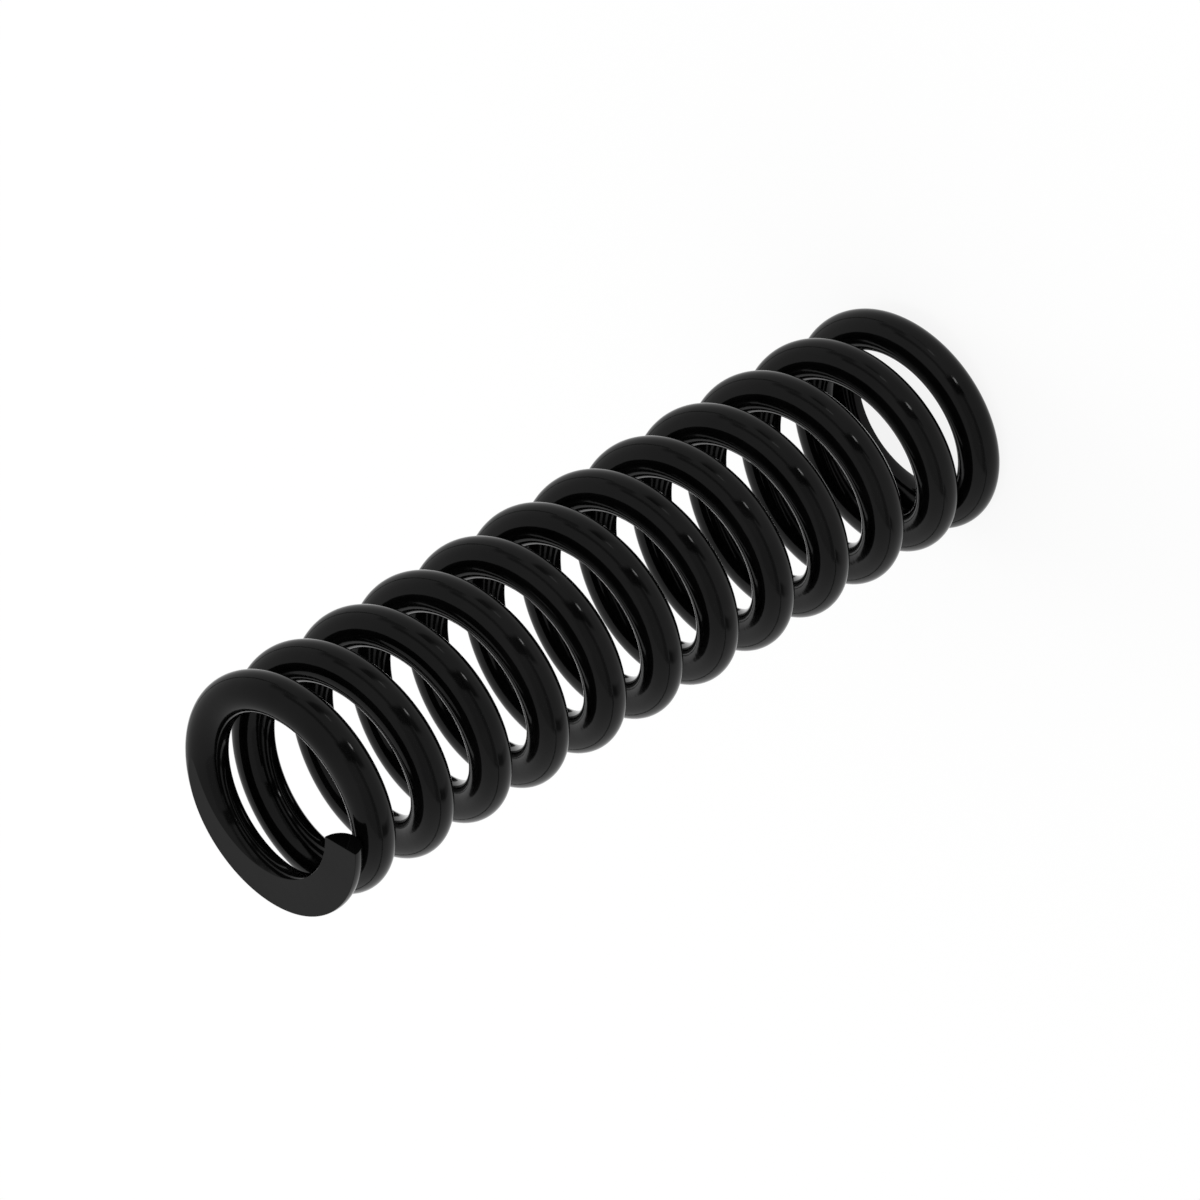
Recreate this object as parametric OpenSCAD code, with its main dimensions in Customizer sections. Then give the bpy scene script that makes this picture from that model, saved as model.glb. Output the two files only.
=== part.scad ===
// Compression spring, wound right-handed from one length of round wire.
// The coil stands upright: its axis is Z, and z = 0 is the lower ground face.
// Each end has a closed turn, then the pitch opens to the working pitch.
// Both end turns are ground flat and square to the axis, down to the cut tip.

/* [Wire] */
// Diameter of the wire
wire_d = 5; // [3:0.1:6.5]

/* [Coil] */
// Outside diameter of the coil
outer_d = 29.6; // [24:0.1:45]
// Free length from ground face to ground face
free_length = 108; // [95:0.5:180]
// Turns from one cut tip to the other, the closed turns included
total_turns = 12.5; // [9:0.25:13]

/* [Ends] */
// Closed turns at each end
closed_turns = 0.97; // [0.8:0.01:1.5]
// Gap between closed turns that lie side by side, square to the wire
closed_gap = 0.02; // [0.02:0.01:0.5]
// Part of a turn in which the closed pitch opens to the working pitch
opening_turns = 0.2; // [0.1:0.05:0.6]
// Depth that the grinding takes off the wire at its cut tip
ground_depth = 2.5; // [1:0.1:2.8]

/* [Smoothness] */
// Sides of the wire's section
wire_sides = 14; // [8:2:14]
// Steps along each turn of the coil
turn_steps = 32; // [16:4:32]

/* [Hidden] */
coating_black = [0.12, 0.12, 0.12];
wire_r = wire_d / 2;
mean_r = (outer_d - wire_d) / 2;
turn_length = 2 * PI * mean_r;
// Height of the wire's centre above the ground face, at the cut tip
tip_rise = wire_r - ground_depth;
// Height from the wire's centre at one tip to its centre at the other
centre_rise = free_length - 2 * tip_rise;
closed_spacing = wire_d + closed_gap;
// The wire climbs, so turns that far apart square to it are a little further apart along the axis
closed_pitch = closed_spacing / sqrt(1 - pow(closed_spacing / turn_length, 2));
working_turns = total_turns - 2 * closed_turns;
working_pitch = (centre_rise - 2 * closed_turns * closed_pitch) / working_turns;
opening_start = closed_turns - opening_turns / 2;
rings = ceil(total_turns * turn_steps);
half_sides = wire_sides / 2;
// Half angle of one side of the section, which is where an unground side ends
side_angle = 180 / wire_sides;

function limit(value, low, high) = max(low, min(high, value));
function blend(from, to, share) = from + (to - from) * share;

// Share of the working pitch that has opened, at so many turns from a tip
function opened(turns) = limit((turns - opening_start) / opening_turns, 0, 1);

// Turns' worth of opened pitch, summed from the tip
function opened_sum(turns) =
    let (inside = limit(turns - opening_start, 0, opening_turns))
    inside * inside / (2 * opening_turns)
    + max(turns - opening_start - opening_turns, 0);

// Pitch and height of the wire's centre, at so many turns from the nearer tip
function pitch_from_tip(turns) = blend(closed_pitch, working_pitch, opened(turns));
function rise_from_tip(turns) =
    closed_pitch * turns + (working_pitch - closed_pitch) * opened_sum(turns);

// The same along the whole wire: the upper half is the lower one turned over
function pitch_at(turns) = pitch_from_tip(min(turns, total_turns - turns));
function height_at(turns) =
    turns <= total_turns / 2
    ? tip_rise + rise_from_tip(turns)
    : free_length - tip_rise - rise_from_tip(total_turns - turns);

// Angle from the section's lowest point to the edge of the ground face,
// for a ground face so far from the wire's centre
function ground_angle(distance, half_height) =
    max(side_angle, acos(limit(distance / half_height, -1, 1)));

// Angles of the section's corners, up the outside and down the inside,
// left open where a ground face cuts the lower or the upper side
function section_angles(low_cut, high_cut) = [
    for (side = [0, 1], corner = [0 : half_sides - 1])
        let (first = side == 0 ? low_cut : high_cut)
        let (last = side == 0 ? high_cut : low_cut)
        180 * side + blend(first - 90, 90 - last, corner / (half_sides - 1))
];

// Corners of the wire's section in the plane through the coil's axis.
// The wire climbs, so that plane cuts it as an ellipse, a little higher than wide.
function section(turns) =
    let (turn_angle = 360 * turns)
    let (centre_z = height_at(turns))
    let (half_height = wire_r / cos(atan(pitch_at(turns) / turn_length)))
    let (low_cut = ground_angle(centre_z, half_height))
    let (high_cut = ground_angle(free_length - centre_z, half_height))
    [
        for (angle = section_angles(low_cut, high_cut))
            let (radius = mean_r + wire_r * cos(angle))
            [radius * cos(turn_angle), radius * sin(turn_angle), centre_z + half_height * sin(angle)]
    ];

// Number of a corner, on a ring of the swept wire
function corner_at(ring, corner) = ring * wire_sides + corner % wire_sides;

// The wire, swept through the coil's turns from the lower tip to the upper one
module coiled_wire() {
    corners = [
        for (ring = [0 : rings])
            each section(total_turns * ring / rings)
    ];
    wall = [
        for (ring = [0 : rings - 1], corner = [0 : wire_sides - 1])
            let (here = corner_at(ring, corner))
            let (beside = corner_at(ring, corner + 1))
            let (ahead = corner_at(ring + 1, corner))
            let (across = corner_at(ring + 1, corner + 1))
            each [[here, across, ahead], [here, beside, across]]
    ];
    lower_tip = [for (corner = [wire_sides - 1 : -1 : 0]) corner_at(0, corner)];
    upper_tip = [for (corner = [0 : wire_sides - 1]) corner_at(rings, corner)];
    polyhedron(points = corners, faces = concat(wall, [lower_tip, upper_tip]), convexity = 10);
}

module spring() {
    color(coating_black)
        coiled_wire();
}

spring();
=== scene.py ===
"""Looks of the compression spring: black coated wire, finely swept, standing on a plain white floor."""
import math

import bpy
import numpy as np
from mathutils import Matrix, Vector


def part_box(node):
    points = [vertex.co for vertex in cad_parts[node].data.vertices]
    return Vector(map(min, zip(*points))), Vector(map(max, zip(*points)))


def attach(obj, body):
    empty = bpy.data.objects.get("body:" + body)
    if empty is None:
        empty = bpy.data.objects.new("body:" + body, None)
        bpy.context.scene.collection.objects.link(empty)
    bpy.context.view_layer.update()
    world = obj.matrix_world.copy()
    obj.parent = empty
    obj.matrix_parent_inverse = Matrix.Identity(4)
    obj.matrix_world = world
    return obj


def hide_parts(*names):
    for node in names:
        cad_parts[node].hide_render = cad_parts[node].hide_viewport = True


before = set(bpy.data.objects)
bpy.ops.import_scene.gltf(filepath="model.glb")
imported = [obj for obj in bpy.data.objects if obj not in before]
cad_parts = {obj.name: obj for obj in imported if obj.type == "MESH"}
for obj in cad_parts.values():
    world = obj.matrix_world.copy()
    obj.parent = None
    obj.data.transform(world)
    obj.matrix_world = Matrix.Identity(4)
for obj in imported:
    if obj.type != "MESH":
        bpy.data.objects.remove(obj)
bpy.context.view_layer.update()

MM = 0.001
MICRON = 0.000001

# Coil: the outside sizes come from the frame, the rest is the wire's own
LOW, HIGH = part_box("spring")
FREE_LENGTH = HIGH.z - LOW.z
MIDDLE = Vector((0, 0, LOW.z + FREE_LENGTH / 2))
WIRE_R = 2.5 * MM
MEAN_R = HIGH.x - WIRE_R
TURN_LENGTH = 2 * math.pi * MEAN_R
TOTAL_TURNS = 12.5
CLOSED_TURNS = 0.97
OPENING_TURNS = 0.2
CLOSED_GAP = 0.02 * MM
CLOSED_SPACING = 2 * WIRE_R + CLOSED_GAP
CLOSED_PITCH = CLOSED_SPACING / math.sqrt(1 - (CLOSED_SPACING / TURN_LENGTH) ** 2)
WORKING_PITCH = (FREE_LENGTH - 2 * CLOSED_TURNS * CLOSED_PITCH) / (TOTAL_TURNS - 2 * CLOSED_TURNS)
OPENING_START = CLOSED_TURNS - OPENING_TURNS / 2
EDGE_BREAK = 0.05 * MM

# Fineness of the sweep: a section has two arcs, and a strip of two points between them above and below
TURN_STEPS = 180
ARC_POINTS = 18
STRIP_POINTS = 2
SIDES = 2 * (ARC_POINTS + STRIP_POINTS)
TOP_STRIP = ARC_POINTS
BOTTOM_STRIP = TOP_STRIP + STRIP_POINTS + ARC_POINTS

# Camera: it looks at the middle of the coil, with the axis slanting down to the left
CAMERA_AZIMUTH = math.radians(224.8)
CAMERA_TILT = math.radians(55.44)
AXIS_IN_PICTURE = math.radians(211.0)
CAMERA_DISTANCE = 1.1753
CAMERA_LENS = 301.8
SENSOR_WIDTH = 36.0

# Coating
BLACK = (0.0006, 0.0006, 0.0006, 1.0)
SOFT_BLACK = (0.0024, 0.0024, 0.0024, 1.0)
COATING_IOR = 1.5
COATING_SPECULAR = 0.02
COAT_WEIGHT = 0.22
COAT_ROUGHNESS = 0.11
CLOUD_SIZE = 6 * MM
CLOUD_DETAIL = 3.0
PEEL_SIZE = 0.9 * MM
PEEL_DETAIL = 1.0
PEEL_DEPTH = 6 * MICRON
FINE_DETAIL = 2.0
STREAK_WIDTH = 0.2 * MM
STREAK_LENGTH = 12 * MM
STREAK_DEPTH = 1.5 * MICRON
MARK_WIDTH = 0.1 * MM
MARK_LENGTH = 9 * MM
MARK_DEPTH = 1.5 * MICRON
WIRE_ROUGHNESS = (0.05, 0.09)
GROUND_ROUGHNESS = (0.08, 0.14)
NOISE_LOW, NOISE_HIGH = 0.3, 0.7

# Stage
FULL_TURN = 360
WHITE = (1.0, 1.0, 1.0, 1.0)
WHITE_STRENGTH = 1.0
FLOOR_R = 3.0
FLOOR_SEGMENTS = 128
SHADOW_SHARE = 0.12
FILL_STRENGTH = 0.93

# Lamps: azimuth in degrees, distance from the axis, height above the floor, width, height, brightness
KEY_LIGHT = (0, 0.53, 1.13, 0.3, 0.3, 6.0)
GLINTS = {
    "small_light": (227, 0.2, 0.012, 0.02, 0.022, 14.0),
    "strip_light": (257, 0.2, 0.012, 0.025, 0.012, 2.5),
}

# Dark cloths: azimuths from and to in degrees, distance from the axis, then heights and how much is covered
FLAG_COLOR = (0.06, 0.06, 0.06, 1.0)
FLAG_STEP = 2.0
SIDE_FADE = 4.0
STANDING_FLAGS = {
    "flag_front": (210, 234, 0.8, ((0, 1), (0.5, 0.9), (0.75, 0))),
    "flag_wall": (136, 216, 0.81, ((0.03, 0), (0.1, 0.6), (0.22, 0.6), (0.32, 0.25), (0.8, 0.25), (1.1, 0))),
    "flag_high": (230, 298, 0.82, ((0.25, 0), (0.38, 0.6), (0.46, 0.6), (0.6, 0))),
    "flag_low": (282, 312, 0.83, ((0.05, 0), (0.12, 0.5), (0.22, 0.5), (0.4, 0))),
    "flag_seam": (304, 504, 1.0, ((0, 0.8), (0.06, 0.8))),
}
# Dark cloths that lie: azimuths from and to, then distances from the axis and how much is covered
FLAG_LIFT = 0.5 * MM
LYING_FLAGS = {
    "flag_under": (204, 235, ((0.12, 0), (0.22, 0.8), (0.8, 0.9))),
    "flag_right": (260, 279, ((0.045, 0), (0.2, 0.8), (0.8, 0.8))),
    "flag_left": (138, 154, ((0.045, 0), (0.2, 0.8), (0.8, 0.8))),
}


def opened_sum(turns):
    """Turns' worth of opened pitch, summed from the tip."""
    inside = np.clip(turns - OPENING_START, 0, OPENING_TURNS)
    return inside**2 / (2 * OPENING_TURNS) + np.maximum(turns - OPENING_START - OPENING_TURNS, 0)


def rise_from_tip(turns):
    """Rise of the wire's centre, at so many turns from the nearer tip."""
    return CLOSED_PITCH * turns + (WORKING_PITCH - CLOSED_PITCH) * opened_sum(turns)


def height_at(turns):
    """Height of the wire's centre: the upper half is the lower one turned over."""
    if turns <= TOTAL_TURNS / 2:
        return LOW.z + rise_from_tip(turns)
    return HIGH.z - rise_from_tip(TOTAL_TURNS - turns)


def climb_at(turns):
    """Angle at which the wire climbs."""
    from_tip = min(turns, TOTAL_TURNS - turns)
    opened = np.clip((from_tip - OPENING_START) / OPENING_TURNS, 0, 1)
    pitch = CLOSED_PITCH + (WORKING_PITCH - CLOSED_PITCH) * opened
    return math.atan(pitch / TURN_LENGTH)


def ground_cut(distance, half_height):
    """Angle from the section's top or foot to the edge of a ground face there, and whether there is one."""
    least = math.asin(2 * EDGE_BREAK / WIRE_R)
    angle = math.acos(min(max(distance / half_height, -1), 1))
    return max(angle, least), angle > least


def section_outline(low_cut, high_cut):
    """Corners of a section of radius 1 with their normals: up the outside, over, down the inside, under.

    Between the two arcs a ground face is flat, and its edges are broken a little.
    """
    edge = EDGE_BREAK / WIRE_R
    rows = []
    for side, (first, _), (last, ground) in ((1, low_cut, high_cut), (-1, high_cut, low_cut)):
        for angle in np.linspace(first + edge, math.pi - last - edge, ARC_POINTS):
            across, up = side * math.sin(angle), -side * math.cos(angle)
            rows.append((across, up, across, up))
        half_width = math.sin(last) - edge
        for across in (side * half_width, -side * half_width):
            if ground:
                rows.append((across, side * math.cos(last), 0, side))
            else:
                up = side * math.sqrt(1 - across**2)
                rows.append((across, up, across, up))
    return np.array(rows)


def ring_at(turns, inset=0):
    """One ring of the swept wire: places, normals, places on the wire, way ahead, what is ground."""
    angle = 2 * math.pi * turns
    outward = np.array((math.cos(angle), math.sin(angle), 0))
    along = np.array((-math.sin(angle), math.cos(angle), 0))
    upward = np.array((0, 0, 1))
    climb = climb_at(turns)
    centre = height_at(turns)
    half_height = WIRE_R / math.cos(climb)
    low_cut = ground_cut(centre - LOW.z, half_height)
    high_cut = ground_cut(HIGH.z - centre, half_height)
    outline = section_outline(low_cut, high_cut)
    across, up = (outline[:, :2] - inset / WIRE_R * outline[:, 2:]).T[:, :, None]
    heights = np.clip(centre + half_height * up, LOW.z, HIGH.z)
    places = (MEAN_R + WIRE_R * across) * outward + heights * upward
    # The wire climbs, so its own upright leans back along the turn
    lean = upward * math.cos(climb) - along * math.sin(climb)
    flat = (outline[:, 2] == 0)[:, None]
    normals = outline[:, 2:3] * outward + outline[:, 3:] * np.where(flat, upward, lean)
    on_wire = np.column_stack((WIRE_R * outline[:, :2], np.full(SIDES, turns * TURN_LENGTH)))
    return places, normals, on_wire, along, (low_cut[1], high_cut[1])


def coiled_wire():
    """The whole wire as one closed mesh with its true normals; ground faces take the second material."""
    tip_break = EDGE_BREAK / TURN_LENGTH
    steps = round(TOTAL_TURNS * TURN_STEPS)
    rings = [ring_at(0, EDGE_BREAK)]
    rings += [ring_at(turns) for turns in np.linspace(tip_break, TOTAL_TURNS - tip_break, steps + 1)]
    rings.append(ring_at(TOTAL_TURNS, EDGE_BREAK))
    places, normals, on_wire, along, ground = zip(*rings)
    normals = np.concatenate(normals)
    # The two cut tips face along the turn
    normals[:SIDES] = -along[0]
    normals[-SIDES:] = along[-1]
    faces = []
    materials = []
    for ring in range(len(rings) - 1):
        here, ahead = ring * SIDES, (ring + 1) * SIDES
        low_ground, high_ground = np.logical_and(ground[ring], ground[ring + 1])
        for corner in range(SIDES):
            beside = (corner + 1) % SIDES
            faces.append((here + corner, ahead + corner, ahead + beside, here + beside))
            on_ground = corner == TOP_STRIP and high_ground or corner == BOTTOM_STRIP and low_ground
            materials.append(int(on_ground))
    last = (len(rings) - 1) * SIDES
    faces.append(tuple(range(SIDES)))
    faces.append(tuple(reversed(range(last, last + SIDES))))
    materials += [0, 0]
    mesh = bpy.data.meshes.new("spring_wire")
    mesh.from_pydata(np.concatenate(places).tolist(), [], faces)
    mesh.polygons.foreach_set("use_smooth", [True] * len(faces))
    mesh.polygons.foreach_set("material_index", materials)
    attribute = mesh.attributes.new("on_wire", "FLOAT_VECTOR", "POINT")
    attribute.data.foreach_set("vector", np.concatenate(on_wire).astype(np.float32).ravel())
    mesh.normals_split_custom_set_from_vertices(normals.tolist())
    return link(bpy.data.objects.new("spring_wire", mesh))


def link(piece):
    """Puts a new object into the scene."""
    bpy.context.scene.collection.objects.link(piece)
    return piece


def add_node(tree, kind, links=None, **settings):
    """A new node with its settings; links maps its input sockets to the values or outputs that feed them."""
    node = tree.nodes.new(kind)
    for name, value in settings.items():
        setattr(node, name, value)
    for socket, source in (links or {}).items():
        if isinstance(source, bpy.types.NodeSocket):
            tree.links.new(source, node.inputs[socket])
        else:
            node.inputs[socket].default_value = source
    return node


def noise(tree, place, grain, detail):
    """Noise whose grain has that size along each direction of place."""
    scale = [1 / size for size in grain]
    stretched = add_node(tree, "ShaderNodeVectorMath", {0: place, 1: scale}, operation="MULTIPLY")
    links = {"Vector": stretched.outputs["Vector"], "Scale": 1.0, "Detail": detail}
    return add_node(tree, "ShaderNodeTexNoise", links).outputs["Fac"]


def between(tree, share, low, high):
    """The noise's middle range, spread from low to high."""
    links = {"Value": share, "From Min": NOISE_LOW, "From Max": NOISE_HIGH, "To Min": low, "To Max": high}
    return add_node(tree, "ShaderNodeMapRange", links).outputs["Result"]


def bump(tree, height, depth, under=None):
    """A shallow relief, on top of another one where that is given."""
    links = {"Height": height, "Strength": 1.0, "Distance": depth}
    if under is not None:
        links["Normal"] = under
    return add_node(tree, "ShaderNodeBump", links).outputs["Normal"]


def coating(name, roughness, fine_grain, fine_depth):
    """Glossy black coating: a soft orange peel, and the marks of the metal faintly through it."""
    material = bpy.data.materials.new(name)
    material.use_nodes = True
    tree = material.node_tree
    place = add_node(tree, "ShaderNodeAttribute", attribute_name="on_wire").outputs["Vector"]
    cloud = noise(tree, place, (CLOUD_SIZE, CLOUD_SIZE, CLOUD_SIZE), CLOUD_DETAIL)
    peel = noise(tree, place, (PEEL_SIZE, PEEL_SIZE, PEEL_SIZE), PEEL_DETAIL)
    fine = noise(tree, place, fine_grain, FINE_DETAIL)
    relief = bump(tree, fine, fine_depth, bump(tree, peel, PEEL_DEPTH))
    tint = add_node(tree, "ShaderNodeValToRGB", {"Fac": cloud})
    stops = ((NOISE_LOW, BLACK), (NOISE_HIGH, SOFT_BLACK))
    for stop, (position, color) in zip(tint.color_ramp.elements, stops):
        stop.position = position
        stop.color = color
    shader = tree.nodes["Principled BSDF"]
    shader.inputs["IOR"].default_value = COATING_IOR
    shader.inputs["Specular IOR Level"].default_value = COATING_SPECULAR
    shader.inputs["Coat Weight"].default_value = COAT_WEIGHT
    shader.inputs["Coat Roughness"].default_value = COAT_ROUGHNESS
    shader.inputs["Coat IOR"].default_value = COATING_IOR
    tree.links.new(relief, shader.inputs["Coat Normal"])
    tree.links.new(tint.outputs["Color"], shader.inputs["Base Color"])
    tree.links.new(between(tree, cloud, *roughness), shader.inputs["Roughness"])
    tree.links.new(relief, shader.inputs["Normal"])
    return material


def white_rays(tree):
    """1 for the rays that see the white surroundings: camera, glossy and transmission rays."""
    rays = add_node(tree, "ShaderNodeLightPath").outputs
    seen = rays["Is Camera Ray"]
    for name in ("Is Glossy Ray", "Is Transmission Ray"):
        seen = add_node(tree, "ShaderNodeMath", {0: seen, 1: rays[name]}, operation="MAXIMUM").outputs[0]
    return seen


def white_floor():
    """A floor that is seen white, and that keeps a soft shadow of the object."""
    material = bpy.data.materials.new("white_floor")
    material.use_nodes = True
    tree = material.node_tree
    tree.nodes.remove(tree.nodes["Principled BSDF"])
    matt = add_node(tree, "ShaderNodeBsdfDiffuse", {"Color": WHITE}).outputs[0]
    glow = add_node(tree, "ShaderNodeEmission", {"Color": WHITE, "Strength": WHITE_STRENGTH}).outputs[0]
    lit = {0: white_rays(tree), 1: 1 - SHADOW_SHARE}
    share = add_node(tree, "ShaderNodeMath", lit, operation="MULTIPLY").outputs[0]
    mixed = add_node(tree, "ShaderNodeMixShader", {0: share, 1: matt, 2: glow}).outputs[0]
    tree.links.new(mixed, tree.nodes["Material Output"].inputs["Surface"])
    return material


def polar(azimuth, distance, height):
    """A place round the coil's axis, from an azimuth in degrees."""
    angle = math.radians(azimuth)
    return Vector((distance * math.cos(angle), distance * math.sin(angle), LOW.z + height))


def floor():
    """A wide round floor, level with the lower ground face."""
    rim = [polar(FULL_TURN * step / FLOOR_SEGMENTS, FLOOR_R, 0) for step in range(FLOOR_SEGMENTS)]
    mesh = bpy.data.meshes.new("floor")
    mesh.from_pydata(rim, [], [tuple(range(FLOOR_SEGMENTS))])
    mesh.materials.append(white_floor())
    link(bpy.data.objects.new("floor", mesh))


def dark_cloth():
    """A dark cloth that lets light through where its cover fades out."""
    material = bpy.data.materials.new("dark_cloth")
    material.use_nodes = True
    tree = material.node_tree
    tree.nodes.remove(tree.nodes["Principled BSDF"])
    cover = add_node(tree, "ShaderNodeAttribute", attribute_name="cover").outputs["Fac"]
    clear = add_node(tree, "ShaderNodeBsdfTransparent").outputs[0]
    cloth = add_node(tree, "ShaderNodeBsdfDiffuse", {"Color": FLAG_COLOR}).outputs[0]
    mixed = add_node(tree, "ShaderNodeMixShader", {0: cover, 1: clear, 2: cloth}).outputs[0]
    tree.links.new(mixed, tree.nodes["Material Output"].inputs["Surface"])
    return material


def flag(name, first, last, rows, material):
    """A dark cloth beside the object, which only its gloss shows, with faded sides.

    Each row is a distance from the axis, a height above the floor and how much the cloth covers.
    """
    places = []
    covers = []
    azimuths = np.arange(first, last + FLAG_STEP, FLAG_STEP)
    for azimuth in azimuths:
        fade = np.clip(min(azimuth - first, last - azimuth) / SIDE_FADE, 0, 1)
        places += [polar(azimuth, distance, height) for distance, height, _ in rows]
        covers += [cover * fade for _, _, cover in rows]
    count = len(rows)
    faces = []
    for step in range(len(azimuths) - 1):
        for row in range(count - 1):
            corner = step * count + row
            faces.append((corner, corner + 1, corner + count + 1, corner + count))
    mesh = bpy.data.meshes.new(name)
    mesh.from_pydata(places, [], faces)
    mesh.materials.append(material)
    mesh.attributes.new("cover", "FLOAT", "POINT").data.foreach_set("value", covers)
    cloth = link(bpy.data.objects.new(name, mesh))
    cloth.visible_camera = False
    cloth.visible_diffuse = False
    cloth.visible_shadow = False
    cloth.visible_transmission = False


def softbox(name, azimuth, distance, rise, width, height, brightness):
    """A lamp that faces the object, with the brightness at which its gloss shows it."""
    place = polar(azimuth, distance, rise)
    light = bpy.data.lights.new(name, "AREA")
    light.shape = "RECTANGLE"
    light.size = width
    light.size_y = height
    light.energy = brightness * math.pi * width * height
    lamp = link(bpy.data.objects.new(name, light))
    lamp.location = place
    lamp.rotation_euler = (MIDDLE - place).to_track_quat("-Z", "Y").to_euler()
    lamp.visible_camera = False
    return lamp


def studio():
    """White surroundings, the lamps and the dark cloths."""
    world = bpy.data.worlds.new("studio")
    bpy.context.scene.world = world
    world.use_nodes = True
    tree = world.node_tree
    fill = tree.nodes["Background"]
    fill.inputs["Color"].default_value = WHITE
    fill.inputs["Strength"].default_value = FILL_STRENGTH
    seen = add_node(tree, "ShaderNodeBackground", {"Color": WHITE, "Strength": WHITE_STRENGTH})
    links = {0: white_rays(tree), 1: fill.outputs[0], 2: seen.outputs[0]}
    mixed = add_node(tree, "ShaderNodeMixShader", links).outputs[0]
    tree.links.new(mixed, tree.nodes["World Output"].inputs["Surface"])
    # The gloss doesn't show the key light, and it alone shows the small ones
    softbox("key_light", *KEY_LIGHT).visible_glossy = False
    for name, sizes in GLINTS.items():
        softbox(name, *sizes).visible_diffuse = False
    cloth = dark_cloth()
    for name, (first, last, distance, rows) in STANDING_FLAGS.items():
        flag(name, first, last, [(distance, height, cover) for height, cover in rows], cloth)
    for name, (first, last, rows) in LYING_FLAGS.items():
        flag(name, first, last, [(distance, FLAG_LIFT, cover) for distance, cover in rows], cloth)


def camera():
    """The camera, turned about its own line of sight so that the coil lies slantwise."""
    tilt_sin, tilt_cos = math.sin(CAMERA_TILT), math.cos(CAMERA_TILT)
    turn_sin, turn_cos = math.sin(CAMERA_AZIMUTH), math.cos(CAMERA_AZIMUTH)
    back = Vector((tilt_sin * turn_cos, tilt_sin * turn_sin, tilt_cos))
    level_right = Vector((-turn_sin, turn_cos, 0))
    level_up = back.cross(level_right)
    right = math.cos(AXIS_IN_PICTURE) * level_up + math.sin(AXIS_IN_PICTURE) * level_right
    up = math.sin(AXIS_IN_PICTURE) * level_up - math.cos(AXIS_IN_PICTURE) * level_right
    lens = bpy.data.cameras.new("camera")
    lens.lens = CAMERA_LENS
    lens.sensor_width = SENSOR_WIDTH
    viewer = link(bpy.data.objects.new("camera", lens))
    turned = Matrix((right, up, back)).transposed().to_4x4()
    viewer.matrix_world = Matrix.Translation(MIDDLE + CAMERA_DISTANCE * back) @ turned
    bpy.context.scene.camera = viewer


spring = coiled_wire()
streaks = (STREAK_WIDTH, STREAK_WIDTH, STREAK_LENGTH)
marks = (MARK_LENGTH, MARK_WIDTH, MARK_WIDTH)
spring.data.materials.append(coating("coated_wire", WIRE_ROUGHNESS, streaks, STREAK_DEPTH))
spring.data.materials.append(coating("coated_ground_face", GROUND_ROUGHNESS, marks, MARK_DEPTH))
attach(spring, "root")
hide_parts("spring")
floor()
studio()
camera()
bpy.context.scene.view_settings.view_transform = "Standard"
